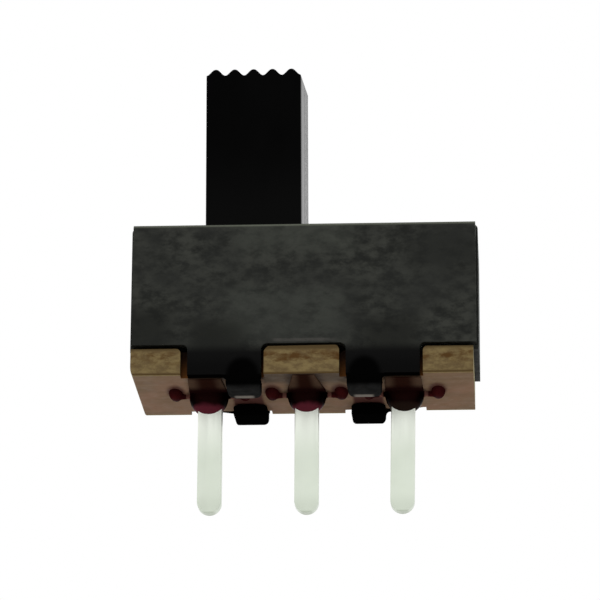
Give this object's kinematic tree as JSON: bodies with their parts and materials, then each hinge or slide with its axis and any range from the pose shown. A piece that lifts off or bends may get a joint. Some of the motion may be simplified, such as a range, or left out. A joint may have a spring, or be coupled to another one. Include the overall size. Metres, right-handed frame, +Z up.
{
  "type": "slide switch",
  "caption": "Sub-miniature two-position slide switch with a folded steel frame, a tall ridged knob and straight pins for a circuit board.",
  "frame": {"origin": "on the middle pin's axis, in the plane of the undersides of the four folded tabs", "axes": "+X the way the knob slides, from its left position to its right one; -Y the front of the frame; +Z up, from the pins to the knob"},
  "size_m": [0.009, 0.0036, 0.012],
  "materials": {
    "shell_steel": "dark plated steel sheet, faintly mottled",
    "laminate": "phenolic paper laminate, tan cut edge and pinkish brown face",
    "terminal_plating": "bright silver-coloured plating",
    "lacquer": "dark red lacquer, glossy",
    "slider_plastic": "black moulding, satin",
    "spring_bronze": "bare spring bronze"
  },
  "bodies": {
    "housing": {"shell": "shell_steel", "terminal_board": "laminate", "terminal_left": "terminal_plating", "terminal_middle": "terminal_plating", "terminal_right": "terminal_plating", "sealant_left": "lacquer", "sealant_middle": "lacquer", "sealant_right": "lacquer"},
    "slider": {"slider": "slider_plastic", "contact_clip": "spring_bronze"}
  },
  "joints": [
    {"name": "knob_slide", "type": "slide", "parent": "housing", "child": "slider", "axis": [1, 0, 0], "range_m": [0, 0.00275]}
  ]
}
